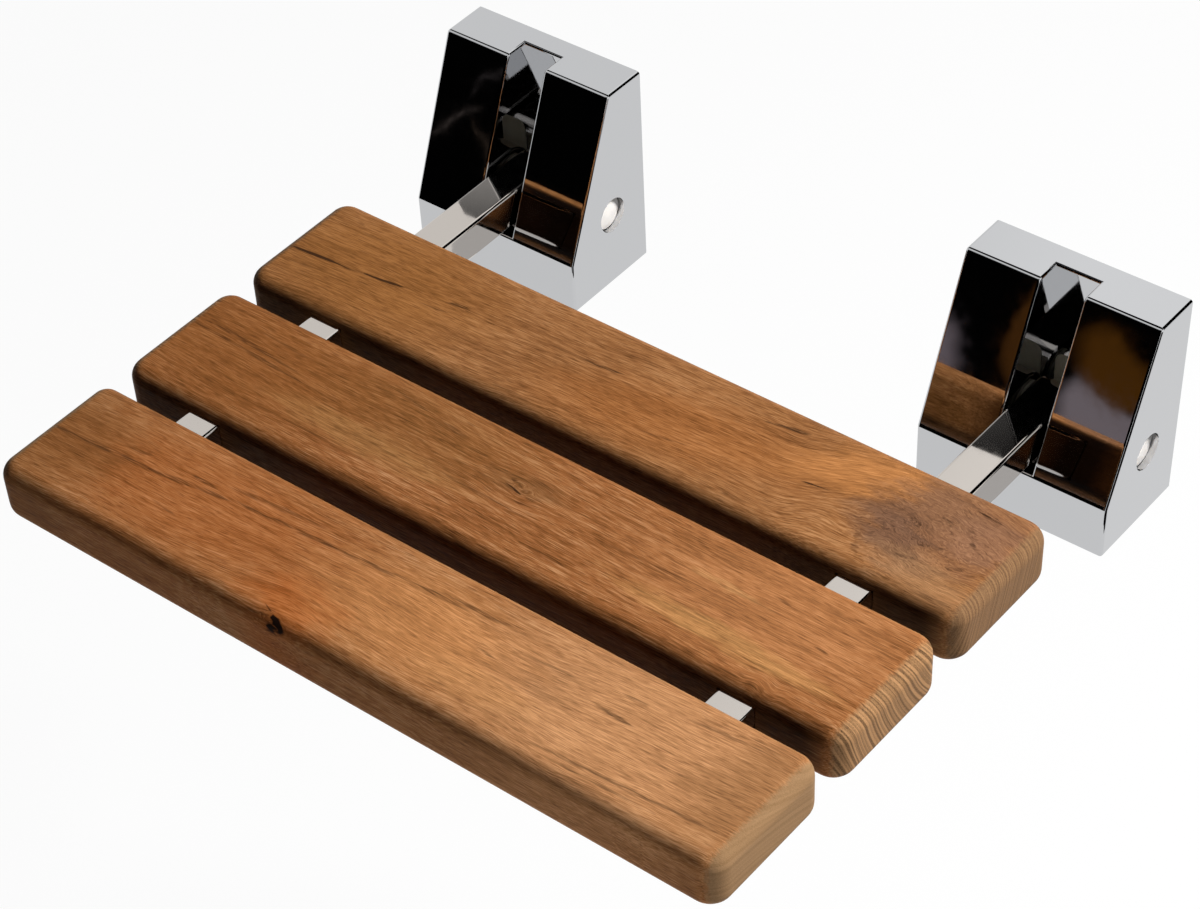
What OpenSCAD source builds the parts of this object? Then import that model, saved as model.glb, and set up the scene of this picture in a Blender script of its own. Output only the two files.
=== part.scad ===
// Fold down wall seat: two wall brackets, two straight arms and three wooden slats.
// X runs along the slats, -Y points from the wall into the room and +Z is up.
// The wall is the plane y = 0. The origin is the middle of the wall screw pattern,
// half way between the brackets and half way up them.

/* [Brackets] */
// Distance between the middles of the two brackets
bracket_pitch = 283; // [200:1:500]
// Width of one bracket
bracket_w = 94; // [84:1:120]
// Height of one bracket
bracket_h = 102; // [92:1:140]
// Depth of a bracket across its flat top
top_depth = 23; // [19:0.5:32]
// Depth of a bracket at its foot
foot_depth = 54; // [44:1:75]
// Height of the upright skirt below the slanted front
skirt_h = 26.5; // [20:0.5:28]
// Thickness of the bracket's cast walls
wall_t = 4; // [3:0.25:5]
// Small round on the bracket's outer edges
bracket_edge_r = 1.5; // [0.5:0.1:2]
// Height of the channel's front lip above the top of the skirt
lip_rise = 1; // [0.5:0.25:3]

/* [Wall plates] */
// Thickness of the folded steel plate
plate_t = 4; // [3:0.25:5]
// Depth of the plate's folded flanges
flange_depth = 12; // [9.5:0.5:14]
// Inside radius of the plate's folds
fold_r = 2; // [0.5:0.25:3]
// Gap between the plate and the casting round it
plate_gap = 0.3; // [0.2:0.1:1]
// Distance between the two columns of wall screws in one plate
screw_col_pitch = 54; // [44:1:64]
// Distance between the upper and lower wall screws
screw_row_pitch = 64; // [50:1:72]
// Radius of the wall screw holes
wall_hole_r = 3.25; // [2.5:0.25:4]

/* [Pivots] */
// Distance from the wall to the pivot axis
pivot_out = 23.5; // [23:0.25:27]
// Height of the pivot axis above the bracket's foot
pivot_up = 37.5; // [36:0.5:48]
// Radius of the pivot pin
pin_r = 5; // [3.5:0.25:5]
// Running clearance between the pin and its bushes
pin_clearance = 0.05; // [0.02:0.01:0.1]
// Wall thickness of the flanged bushes
bush_wall = 1.45; // [1:0.05:1.5]
// Radius of a bush's flange
bush_flange_r = 8.5; // [7.5:0.25:9]
// Radius of the round cap over each end of the pin
cap_r = 8.5; // [7:0.25:9]
// Thickness of a cap
cap_t = 3; // [2:0.25:4]
// Depth of a cap below the bracket's side
cap_recess = 3; // [1:0.25:4]
// Round on a cap's rim
cap_edge_r = 0.7; // [0.2:0.1:1.2]
// How far the middle of a cap stands above its rim
cap_dome = 0.4; // [0:0.1:0.6]
// Chamfer on the ends of the pin
pin_chamfer = 0.6; // [0.2:0.1:1]
// Fit clearance round pressed pins, bushes and caps
press_clearance = 0.02; // [0.01:0.01:0.05]

/* [Arms] */
// Width of the bar
arm_w = 18; // [14:0.5:22]
// Height of the bar
arm_h = 18; // [17:0.25:19]
// Round on the bar's long edges
arm_edge_r = 1.6; // [0.8:0.1:2.5]
// Distance from the pivot axis down to the underside of the bar
arm_drop = 6; // [5.5:0.25:7]
// Depth of the heel below the pivot axis
heel_drop = 9; // [8.5:0.25:10]
// Gap on each side between the bar and its channel
arm_side_gap = 1.5; // [1:0.25:3]
// Gap between the arm and the pad that stops it
stop_gap = 0.3; // [0.2:0.05:0.6]
// How far the bar reaches into the front slat
tenon_depth = 48; // [30:1:56]

/* [Stop pads] */
// Width of the pad's face
pad_w = 14; // [10:0.5:16]
// Height of the pad's face
pad_h = 28; // [20:0.5:34]
// How far the pad stands out of the channel's back wall
pad_proud = 0.2; // [0.1:0.05:0.6]
// Round on the corners of the pad's face
pad_corner_r = 4; // [1:0.25:4.5]
// Width of the rim behind the wall that keeps the pad in
pad_rim = 2; // [1:0.25:3]
// Fit clearance round the pad
pad_clearance = 0.15; // [0.1:0.05:0.3]

/* [Slats] */
// Length of a slat
slat_len = 381; // [320:1:600]
// Width of a slat
slat_w = 69; // [60:1:90]
// Thickness of a slat
slat_t = 28; // [26:0.5:34]
// Gap between two slats
slat_gap = 9.5; // [5:0.5:14]
// Distance from the wall to the back slat
slat_out = 99.5; // [95:0.5:120]
// Wood under the bar
wood_below = 4.5; // [4:0.25:5]
// Round on a slat's long edges
slat_edge_r = 7; // [4:0.25:9.5]
// Round on a slat's corners, seen from above
slat_corner_r = 10; // [10:0.5:20]
// Gap round the bar in a slat's mortise
mortise_gap = 0.3; // [0.2:0.1:1]

/* [Screws] */
// Radius of the machine screws
screw_r = 2.5; // [2:0.25:3]
// Radius of a countersunk head
head_r = 5; // [4.5:0.25:5.5]
// Height of a countersunk head
head_h = 2.6; // [2:0.1:3]
// Length of a slat screw
slat_screw_len = 14; // [10:0.5:18]
// Length of a bracket screw
bracket_screw_len = 8; // [7:0.5:10]
// Clearance round a screw in its hole
screw_clearance = 0.1; // [0.05:0.05:0.3]

/* [Hidden] */
$fn = 48;
// How far a cutting shape runs past the face it cuts
cut = 1;
foot_z = -bracket_h / 2;
pivot_z = foot_z + pivot_up;
arm_bottom_z = pivot_z - arm_drop;
arm_top_z = arm_bottom_z + arm_h;
// The rounded end of the arm is struck from the pivot, level with the bar's top
eye_r = arm_h - arm_drop;
// Where the slanted front passes, per millimetre of height
slant = (foot_depth - top_depth) / (bracket_h - skirt_h);
slant_stretch = sqrt(1 + slant * slant);
channel_w = arm_w + 2 * arm_side_gap;
pad_face_y = -pivot_out + eye_r + stop_gap;
channel_back_y = pad_face_y + pad_proud;
// The heel's corner swings down as the seat folds, so the channel's floor lies below it
heel_reach = norm([eye_r, heel_drop]);
floor_gap = 1;
floor_z = pivot_z - heel_reach - floor_gap;
lip_z = foot_z + skirt_h + lip_rise;
boss_r = cap_r + wall_t - 0.5;
cap_hole_r = cap_r + press_clearance;
cap_hole_depth = cap_t + cap_recess;
pin_len = bracket_w - 2 * cap_hole_depth;
bush_r = pin_r + pin_clearance + bush_wall;
// The two bushes leave a small gap where they meet inside the arm
bush_meet_gap = 0.5;
bush_flange_t = arm_side_gap - stop_gap;
pad_z = arm_top_z - 6.5;
plate_w = bracket_w - 2 * wall_t - 2 * plate_gap;
plate_bottom_z = foot_z + wall_t + plate_gap;
plate_top_z = foot_z + bracket_h - wall_t - plate_gap;
fold_outer_r = fold_r + plate_t;
// The plate's upper flange is two tabs that pass beside the channel
tab_inner_x = channel_w / 2 + wall_t + plate_gap;
flange_hole_x = screw_col_pitch / 2;
flange_hole_y = -plate_t - flange_depth / 2;
slat_bottom_z = arm_bottom_z - wood_below;
slat_pitch = slat_w + slat_gap;
front_slat_back_y = -slat_out - 2 * slat_pitch;
arm_front_y = front_slat_back_y - tenon_depth;
slat_back_edges = [for (i = [0:2]) -slat_out - i * slat_pitch];

CHROME = [0.82, 0.83, 0.85];
STEEL = [0.66, 0.67, 0.69];
NYLON = [0.90, 0.89, 0.86];
PAD = [0.86, 0.88, 0.76];
TEAK = [0.66, 0.42, 0.22];

// Y of the bracket's slanted front at a height, moved inwards by a wall thickness
function slant_y(z, inset = 0) = -foot_depth + (z - foot_z - skirt_h) * slant + inset * slant_stretch;
// Height at which the inset slanted front meets the inside of the skirt
function skirt_top_z(inset) = foot_z + skirt_h + inset * (1 - slant_stretch) / slant;

// Puts a left or right piece in line with its bracket: side is -1 or 1
module at_bracket(side) {
    translate([side * bracket_pitch / 2, 0, 0]) children();
}

// Extrudes a profile of [y, z] points along X, centred on x = 0
module along_x(w) {
    rotate([90, 0, 90]) linear_extrude(w, center = true) children();
}

// A shaft or bore along X, centred on x = 0 and on the pivot axis
module pivot_rod(r, len) {
    translate([0, -pivot_out, pivot_z]) rotate([0, 90, 0]) cylinder(r = r, h = len, center = true);
}

// Outer form of a bracket: its five corners in profile, with small rounds between all faces
module bracket_form() {
    r = bracket_edge_r;
    side_x = bracket_w / 2 - r;
    top_z = foot_z + bracket_h - r;
    behind_y = 2 * r;
    corners = [[behind_y, foot_z + r], [-foot_depth + r, foot_z + r],
        [-foot_depth + r, skirt_top_z(r)], [slant_y(top_z, r), top_z], [behind_y, top_z]];
    difference() {
        hull()
            for (x = [-side_x, side_x], c = corners)
                translate([x, c[0], c[1]]) sphere(r = r, $fn = 24);
        translate([-bracket_w, 0, foot_z - cut]) cube([2 * bracket_w, 4 * r, bracket_h + 2 * cut]);
    }
}

// Space inside the casting, open at the back
module bracket_hollow() {
    top_z = foot_z + bracket_h - wall_t;
    along_x(bracket_w - 2 * wall_t)
        polygon([[cut, foot_z + wall_t], [-foot_depth + wall_t, foot_z + wall_t],
            [-foot_depth + wall_t, skirt_top_z(wall_t)], [slant_y(top_z, wall_t), top_z], [cut, top_z]]);
}

// The walls that stand round the channel inside the casting
module channel_box() {
    w = channel_w + 2 * wall_t;
    back_y = channel_back_y + wall_t;
    intersection() {
        translate([-w / 2, back_y - foot_depth, floor_z - wall_t]) cube([w, foot_depth, bracket_h]);
        bracket_hollow();
    }
}

// The channel that the arm lies and folds in, closed below by its floor and front lip
module channel_cut() {
    top_z = foot_z + bracket_h + cut;
    inner_y = -foot_depth + wall_t;
    along_x(channel_w)
        polygon([[channel_back_y, floor_z], [inner_y, floor_z], [inner_y, lip_z],
            [-foot_depth - cut, lip_z], [-foot_depth - cut, top_z], [channel_back_y, top_z]]);
}

// Bosses that carry the pin between the side walls and the channel
module pin_bosses() {
    reach = bracket_w / 2 - wall_t / 2;
    for (s = [-1, 1])
        translate([s * (channel_w / 2 + reach) / 2, 0, 0]) pivot_rod(boss_r, reach - channel_w / 2);
}

// A countersunk screw pointing up, with the face of its head on z = 0
module countersunk_screw(len) {
    socket_r = screw_r * 0.62;
    socket_depth = head_h * 0.7;
    difference() {
        union() {
            cylinder(r1 = head_r, r2 = screw_r, h = head_h);
            cylinder(r = screw_r, h = len);
        }
        translate([0, 0, -cut]) cylinder(r = socket_r, h = socket_depth + cut, $fn = 6);
    }
}

// The hole that such a screw passes through, from its countersink up
module countersunk_hole(depth) {
    r = screw_r + screw_clearance;
    rim_r = head_r + screw_clearance;
    cylinder(r = r, h = depth);
    cylinder(r1 = rim_r, r2 = r, h = head_h);
    translate([0, 0, -cut]) cylinder(r = rim_r, h = cut);
}

module at_bracket_screws() {
    for (s = [-1, 1])
        translate([s * flange_hole_x, flange_hole_y, foot_z]) children();
}

// The chromed casting: slanted hollow body, arm channel, pin bosses and pad window
module bracket() {
    color(CHROME)
    difference() {
        union() {
            difference() {
                bracket_form();
                bracket_hollow();
            }
            channel_box();
            pin_bosses();
        }
        channel_cut();
        pivot_rod(pin_r + press_clearance, bracket_w + 2 * cut);
        for (s = [-1, 1])
            translate([s * (bracket_w - cap_hole_depth + cut) / 2, 0, 0])
                pivot_rod(cap_hole_r, cap_hole_depth + cut);
        pad_block(pad_clearance, pad_face_y - cut, channel_back_y + wall_t + cut);
        at_bracket_screws() countersunk_hole(wall_t + cut);
    }
}

// The plate's profile: a channel section with a flange along the bottom and the top
module plate_section() {
    depth = plate_t + flange_depth;
    height = plate_top_z - plate_bottom_z;
    intersection() {
        translate([-depth, plate_bottom_z]) square([depth, height]);
        difference() {
            translate([-2 * depth, plate_bottom_z])
                offset(r = fold_outer_r) offset(delta = -fold_outer_r) square([2 * depth, height]);
            translate([-2 * depth, plate_bottom_z + plate_t])
                offset(r = fold_r) offset(delta = -fold_r) square([2 * depth - plate_t, height - 2 * plate_t]);
        }
    }
}

// Folded steel plate that is screwed to the wall and carries the casting
module wall_plate() {
    color(STEEL)
    difference() {
        along_x(plate_w) plate_section();
        // Between the two upper tabs the plate ends below the fold
        translate([-tab_inner_x, -foot_depth, plate_top_z - fold_outer_r])
            cube([2 * tab_inner_x, foot_depth + cut, fold_outer_r + cut]);
        for (sx = [-1, 1], sz = [-1, 1])
            translate([sx * screw_col_pitch / 2, cut, sz * screw_row_pitch / 2])
                rotate([90, 0, 0]) cylinder(r = wall_hole_r, h = plate_t + 2 * cut);
        at_bracket_screws() cylinder(r = screw_r + screw_clearance, h = wall_t + plate_gap + plate_t + cut);
    }
}

// Plain shaft with chamfered ends, pressed into the bosses
module pivot_pin() {
    half = pin_len / 2;
    color(STEEL)
    translate([0, -pivot_out, pivot_z])
        rotate([0, 90, 0])
            rotate_extrude()
                polygon([[0, -half], [pin_r - pin_chamfer, -half], [pin_r, -half + pin_chamfer],
                    [pin_r, half - pin_chamfer], [pin_r - pin_chamfer, half], [0, half]]);
}

// Half profile of a cap, from its axis out: a low dome with a rounded rim
module cap_profile() {
    steps = 6;
    flat_r = cap_r - cap_edge_r;
    rim_t = cap_t - cap_dome - cap_edge_r;
    dome = [for (i = [0:steps]) let (r = flat_r * i / steps) [r, cap_t - cap_dome * pow(r / flat_r, 2)]];
    rim = [for (i = [1:steps]) let (a = 90 - 90 * i / steps)
        [flat_r + cap_edge_r * cos(a), rim_t + cap_edge_r * sin(a)]];
    polygon(concat([[0, 0]], dome, rim, [[cap_r, 0]]));
}

// Round caps that close the pin's holes in both sides of a bracket
module pin_caps() {
    color(NYLON)
    for (s = [-1, 1])
        translate([s * pin_len / 2, -pivot_out, pivot_z])
            rotate([0, s * 90, 0]) rotate_extrude() cap_profile();
}

// Two flanged bushes, one pressed into each side of the arm's eye
module pivot_bushes() {
    sleeve_len = (arm_w - bush_meet_gap) / 2;
    color(NYLON)
    for (s = [-1, 1])
        difference() {
            union() {
                translate([s * (bush_meet_gap + sleeve_len) / 2, 0, 0])
                    pivot_rod(bush_r - press_clearance, sleeve_len);
                translate([s * (arm_w + bush_flange_t) / 2, 0, 0]) pivot_rod(bush_flange_r, bush_flange_t);
            }
            pivot_rod(pin_r + pin_clearance, bracket_w);
        }
}

// Block with the pad's round corners, grown by a clearance, between two depths
module pad_block(grow, front_y, back_y) {
    r = pad_corner_r + grow;
    translate([0, back_y, pad_z])
        rotate([90, 0, 0])
            linear_extrude(back_y - front_y)
                offset(r = r) offset(delta = -r) square([pad_w + 2 * grow, pad_h + 2 * grow], center = true);
}

// Pale pad in the channel's back wall: the heel rests on it, and the folded arm lies against it
module stop_pad() {
    wall_back_y = channel_back_y + wall_t;
    color(PAD)
    union() {
        pad_block(0, pad_face_y, wall_back_y);
        pad_block(pad_rim, wall_back_y, -plate_t - plate_gap);
    }
}

module bracket_screws() {
    color(STEEL) at_bracket_screws() countersunk_screw(bracket_screw_len);
}

// Cross-section of the bar, centred, with round edges
module bar_section() {
    x = arm_w / 2 - arm_edge_r;
    z = arm_h / 2 - arm_edge_r;
    square([arm_w, 2 * z], center = true);
    square([2 * x, arm_h], center = true);
    for (sx = [-1, 1], sz = [-1, 1])
        translate([sx * x, sz * z]) circle(r = arm_edge_r);
}

// Disc round the pivot with edges as round as the bar's
module arm_eye() {
    x = arm_w / 2 - arm_edge_r;
    r = eye_r - arm_edge_r;
    translate([0, -pivot_out, pivot_z])
        rotate([0, 90, 0])
            rotate_extrude() {
                translate([0, -arm_w / 2]) square([r, arm_w]);
                translate([0, -x]) square([eye_r, 2 * x]);
                for (s = [-1, 1])
                    translate([r, s * x]) circle(r = arm_edge_r);
            }
}

// Straight bar with a round eye and a square heel that stops the seat when it is down
module arm() {
    mid_z = (arm_bottom_z + arm_top_z) / 2;
    ramp_out = heel_reach;
    color(CHROME)
    difference() {
        union() {
            translate([0, -pivot_out, mid_z])
                rotate([90, 0, 0]) linear_extrude(-arm_front_y - pivot_out) bar_section();
            arm_eye();
            along_x(arm_w - 2 * arm_edge_r)
                polygon([[-pivot_out + eye_r, pivot_z], [-pivot_out + eye_r, pivot_z - heel_drop],
                    [-pivot_out, pivot_z - heel_drop], [-pivot_out - ramp_out, arm_bottom_z],
                    [-pivot_out - ramp_out, mid_z], [-pivot_out, mid_z]]);
        }
        pivot_rod(bush_r, bracket_w);
        for (back_y = slat_back_edges)
            translate([0, back_y - slat_w / 2, arm_bottom_z - cut])
                cylinder(r = screw_r + screw_clearance, h = slat_screw_len - wood_below + 2 * cut);
    }
}

// Slab with round edges and corners: one hull of a rounded disc at each corner
module slat_blank(back_y) {
    x = slat_len / 2 - slat_corner_r;
    y = slat_w / 2 - slat_corner_r;
    z = slat_t / 2 - slat_edge_r;
    disc_r = slat_corner_r - slat_edge_r;
    translate([0, back_y - slat_w / 2, slat_bottom_z + slat_t / 2])
        hull()
            for (sx = [-1, 1], sy = [-1, 1], sz = [-1, 1])
                translate([sx * x, sy * y, sz * z])
                    rotate_extrude($fn = 32)
                        union() {
                            square([disc_r, slat_edge_r]);
                            translate([disc_r, 0]) intersection() {
                                circle(r = slat_edge_r);
                                translate([0, -slat_edge_r]) square([slat_edge_r, 2 * slat_edge_r]);
                            }
                            translate([0, -slat_edge_r]) square([disc_r, slat_edge_r]);
                        }
}

// A slat with its two mortises and screw holes: depth is how far each mortise goes in
module slat(back_y, depth) {
    w = arm_w + 2 * mortise_gap;
    h = arm_h + 2 * mortise_gap;
    color(TEAK)
    difference() {
        slat_blank(back_y);
        for (side = [-1, 1])
            at_bracket(side) {
                translate([-w / 2, back_y - depth, arm_bottom_z - mortise_gap]) cube([w, depth + cut, h]);
                translate([0, back_y - slat_w / 2, slat_bottom_z]) countersunk_hole(slat_t / 2);
            }
    }
}

module slat_screws() {
    color(STEEL)
    for (side = [-1, 1], back_y = slat_back_edges)
        at_bracket(side)
            translate([0, back_y - slat_w / 2, slat_bottom_z]) countersunk_screw(slat_screw_len);
}

at_bracket(-1) bracket();  // bracket_left
at_bracket(1) bracket();  // bracket_right
at_bracket(-1) wall_plate();  // wall_plate_left
at_bracket(1) wall_plate();  // wall_plate_right
at_bracket(-1) pivot_pin();  // pivot_pin_left
at_bracket(1) pivot_pin();  // pivot_pin_right
at_bracket(-1) pin_caps();  // pin_caps_left
at_bracket(1) pin_caps();  // pin_caps_right
at_bracket(-1) pivot_bushes();  // pivot_bushes_left
at_bracket(1) pivot_bushes();  // pivot_bushes_right
at_bracket(-1) stop_pad();  // stop_pad_left
at_bracket(1) stop_pad();  // stop_pad_right
at_bracket(-1) bracket_screws();  // bracket_screws_left
at_bracket(1) bracket_screws();  // bracket_screws_right
at_bracket(-1) arm();  // arm_left
at_bracket(1) arm();  // arm_right
slat(slat_back_edges[0], slat_w + cut);  // slat_back
slat(slat_back_edges[1], slat_w + cut);  // slat_middle
slat(slat_back_edges[2], tenon_depth + mortise_gap);  // slat_front
slat_screws();
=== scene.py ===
import bpy
from math import atan2, radians
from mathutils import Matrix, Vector


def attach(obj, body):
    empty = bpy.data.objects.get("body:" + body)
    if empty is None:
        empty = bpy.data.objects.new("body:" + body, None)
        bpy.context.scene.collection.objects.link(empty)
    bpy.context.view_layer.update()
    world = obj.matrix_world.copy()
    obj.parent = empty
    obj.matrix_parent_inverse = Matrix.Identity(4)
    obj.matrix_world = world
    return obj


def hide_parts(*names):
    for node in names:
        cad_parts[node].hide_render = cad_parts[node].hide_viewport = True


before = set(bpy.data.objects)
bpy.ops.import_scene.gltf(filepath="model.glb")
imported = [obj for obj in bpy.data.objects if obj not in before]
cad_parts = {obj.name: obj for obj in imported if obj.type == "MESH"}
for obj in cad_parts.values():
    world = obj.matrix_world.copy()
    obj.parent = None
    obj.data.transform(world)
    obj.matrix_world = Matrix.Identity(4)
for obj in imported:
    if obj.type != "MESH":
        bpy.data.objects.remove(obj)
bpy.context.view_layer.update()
mm = 0.001


def linearColour(hexColour):
    parts = [int(hexColour[i:i + 2], 16) / 255 for i in (1, 3, 5)]
    return (*(c / 12.92 if c <= 0.04045 else ((c + 0.055) / 1.055) ** 2.4 for c in parts), 1)


def addNode(tree, kind, inputs=None, **settings):
    node = tree.nodes.new(kind)
    for name, value in settings.items():
        setattr(node, name, value)
    for socket, value in (inputs or {}).items():
        if isinstance(value, bpy.types.Node):  # a node stands for its first working output
            value = next(out for out in value.outputs if out.enabled)
        if isinstance(value, bpy.types.NodeSocket):
            tree.links.new(value, node.inputs[socket])
        else:
            node.inputs[socket].default_value = value
    return node


def newMaterial(name):
    material = bpy.data.materials.new(name)
    material.use_nodes = True
    material.node_tree.nodes.clear()
    return material, material.node_tree


def deselectAll():
    for thing in list(bpy.context.selected_objects):
        thing.select_set(False)


def makeActive(piece):
    deselectAll()
    piece.select_set(True)
    bpy.context.view_layer.objects.active = piece


def applyPlace(piece):
    makeActive(piece)
    bpy.ops.object.transform_apply(location=True, rotation=True, scale=True)


def addBox(name, low, high):  # corners in millimetres
    deselectAll()
    centre = [(a + b) / 2 * mm for a, b in zip(low, high)]
    bpy.ops.mesh.primitive_cube_add(size=1, location=centre)
    box = bpy.context.object
    box.name = name
    box.scale = [(b - a) * mm for a, b in zip(low, high)]
    applyPlace(box)
    return box


def addRod(name, radius, x0, x1, y, z, sides=64):  # a round bar along X, in millimetres
    deselectAll()
    bpy.ops.mesh.primitive_cylinder_add(vertices=sides, radius=radius * mm, depth=(x1 - x0) * mm,
                                        location=((x0 + x1) / 2 * mm, y * mm, z * mm), rotation=(0, radians(90), 0))
    rod = bpy.context.object
    rod.name = name
    applyPlace(rod)
    return rod


def addCone(name, lowRadius, highRadius, height, middle):  # upright, in millimetres
    deselectAll()
    bpy.ops.mesh.primitive_cone_add(vertices=32, radius1=lowRadius * mm, radius2=highRadius * mm, depth=height * mm,
                                    location=[v * mm for v in middle])
    cone = bpy.context.object
    cone.name = name
    applyPlace(cone)
    return cone


def selectWhere(piece, part, test):  # part is "vertices", "edges" or "polygons"
    mesh = piece.data
    for group in (mesh.vertices, mesh.edges, mesh.polygons):
        group.foreach_set("select", [False] * len(group))
    bpy.context.tool_settings.mesh_select_mode = [part == kind for kind in ("vertices", "edges", "polygons")]
    for item in getattr(mesh, part):
        item.select = bool(test(item))
    makeActive(piece)
    bpy.ops.object.mode_set(mode="EDIT")


def selectAll(piece):
    selectWhere(piece, "vertices", lambda v: True)


def leaveEdit():
    bpy.ops.object.mode_set(mode="OBJECT")


def edgeMiddle(piece, edge):
    a, b = (piece.data.vertices[i].co for i in edge.vertices)
    return (a + b) / 2


def applyModifiers(piece):
    makeActive(piece)
    for modifier in list(piece.modifiers):
        bpy.ops.object.modifier_apply(modifier=modifier.name)


def booleanWith(piece, tool, operation="DIFFERENCE"):
    modifier = piece.modifiers.new("shape", "BOOLEAN")
    modifier.operation = operation
    modifier.solver = "EXACT"
    modifier.object = tool
    applyModifiers(piece)
    bpy.data.objects.remove(tool)


def joinFlatFaces(piece):  # one face for each flat side, so that its rim rounds evenly
    selectAll(piece)
    bpy.ops.mesh.remove_doubles(threshold=0.1 * mm)
    bpy.ops.mesh.dissolve_limited(angle_limit=radians(1))
    leaveEdit()


def shadeSmooth(piece, angle=40):
    makeActive(piece)
    bpy.ops.object.shade_smooth_by_angle(angle=radians(angle))
    modifier = piece.modifiers.new("flat faces stay flat", "WEIGHTED_NORMAL")
    modifier.keep_sharp = True
    modifier.weight = 80
    applyModifiers(piece)


def copyTo(piece, name, shift):  # a copy with its own mesh, moved along X
    twin = piece.copy()
    twin.data = piece.data.copy()
    bpy.context.collection.objects.link(twin)
    twin.name = name
    twin.location.x = shift * mm
    applyPlace(twin)
    return twin


def dress(piece, material, body, nodes):
    piece.data.materials.clear()
    piece.data.materials.append(material)
    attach(piece, body)
    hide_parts(*nodes)


# camera
cameraSetup = {
    "place": (626.96, -890.57, 837.65),  # millimetres
    "turn": (42.3213, 3.8623, 39.6495),  # degrees
    "lens": 90.451,
    "shift": (0.0892, 0.2752),
}
bpy.ops.object.camera_add(location=[v * mm for v in cameraSetup["place"]],
                          rotation=[radians(v) for v in cameraSetup["turn"]])
camera = bpy.context.object
camera.data.sensor_width = 36
camera.data.lens = cameraSetup["lens"]
camera.data.shift_x, camera.data.shift_y = cameraSetup["shift"]
camera.data.clip_start = 0.05
bpy.context.scene.camera = camera
print("camera set")


# chrome plating, polished first: a hard mirror with a slow waviness left by polishing and faint smears
def makeChrome(name, setup):
    material, tree = newMaterial(name)
    place = addNode(tree, "ShaderNodeTexCoord")
    slow = addNode(tree, "ShaderNodeTexNoise", {"Vector": place.outputs["Object"], "Scale": 1000 / setup["wave"],
                                                "Detail": 1.0})
    bump = addNode(tree, "ShaderNodeBump", {"Height": slow, "Strength": setup["waveStrength"],
                                            "Distance": setup["waveHeight"] * mm})
    smear = addNode(tree, "ShaderNodeTexNoise", {"Vector": place.outputs["Object"], "Scale": 1000 / setup["smear"],
                                                 "Detail": 3.0})
    low, high = setup["rough"]
    gloss = addNode(tree, "ShaderNodeMapRange", {"Value": smear, "From Min": 0.35, "From Max": 0.75, "To Min": low,
                                                 "To Max": high})
    shader = addNode(tree, "ShaderNodeBsdfPrincipled", {"Base Color": linearColour(setup["colour"]), "Metallic": 1.0,
                                                       "Roughness": gloss, "Normal": bump})
    addNode(tree, "ShaderNodeOutputMaterial", {"Surface": shader})
    return material


chrome = makeChrome("chromed zinc casting", {
    "colour": "#CDCED0", "wave": 34, "waveStrength": 0.25, "waveHeight": 0.05, "smear": 6, "rough": (0.02, 0.05)})
armChrome = makeChrome("polished chromed steel bar", {
    "colour": "#CFC8C1", "wave": 40, "waveStrength": 0.2, "waveHeight": 0.05, "smear": 5, "rough": (0.04, 0.09)})


# brackets: made in the middle, then moved along X to their places
# the sizes here and in the dictionaries below are in millimetres
bracketSize = {
    "pitch": 283, "width": 94, "height": 102, "topDepth": 23, "footDepth": 54, "skirt": 26.5, "wall": 4,
    "edge": 1.5, "rim": 1.25, "lipRim": 0.5,  # how far the edges are rounded
    "channelWidth": 21, "channelBack": -11, "channelFloor": 21.5, "lip": 27.5,
    "pivot": (-23.5, -13.5), "boreRadius": 5.02, "bossRadius": 12, "capRadius": 8.52, "capDepth": 6,
    "padWindow": (14.3, 28.3, -8.0, 4.15),  # width, height, middle height and corner radius
    "screws": (27, -10), "screwRadius": 2.6, "headRadius": 5.9, "headDepth": 3.3, "headMiddle": 0.95,  # from below
}
foot = -bracketSize["height"] / 2
far, above = 70, 60  # past the sides and past the top of a bracket, for what cuts it


def addLeaningBox(name, low, high):  # the casting's form: above the skirt its front leans back
    fold = foot + bracketSize["skirt"]
    form = addBox(name, low, high)
    selectAll(form)
    bpy.ops.mesh.bisect(plane_co=(0, 0, fold * mm), plane_no=(0, 0, 1))
    leaveEdit()
    lean = (bracketSize["footDepth"] - bracketSize["topDepth"]) * (high[2] - fold) / (-foot - fold)
    selectWhere(form, "vertices", lambda v: v.co.z > (high[2] - 1) * mm and v.co.y < (low[1] + 1) * mm)
    bpy.ops.transform.translate(value=(0, lean * mm, 0))
    leaveEdit()
    return form


def roundRims(shell, wide, lipTop):  # the channel's edges in the outer skin: the lip is too low for the full round
    back = bracketSize["channelBack"]
    weights = shell.data.attributes.new("bevel_weight_edge", "FLOAT", "EDGE")
    for e in shell.data.edges:
        middle = edgeMiddle(shell, e) / mm
        atTop = abs(middle.y - back) < 0.05 and abs(middle.z + foot) < 0.05
        atSide = abs(abs(middle.x) - wide) < 0.05 and middle.z > lipTop + 0.2 and middle.y < back - 0.05
        if abs(middle.x) < 1 and abs(middle.z - lipTop) < 0.05:
            weights.data[e.index].value = bracketSize["lipRim"] / bracketSize["rim"]
        elif abs(middle.x) < 1 and atTop or atSide:
            weights.data[e.index].value = 1.0
    rims = shell.modifiers.new("rims", "BEVEL")
    rims.limit_method = "WEIGHT"
    rims.width = bracketSize["rim"] * mm
    rims.segments = 5
    rims.use_clamp_overlap = False
    applyModifiers(shell)
    selectAll(shell)  # plain triangles, so that what is cut next stays closed
    bpy.ops.mesh.quads_convert_to_tris()
    bpy.ops.mesh.dissolve_degenerate(threshold=0.002 * mm)
    leaveEdit()


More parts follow.
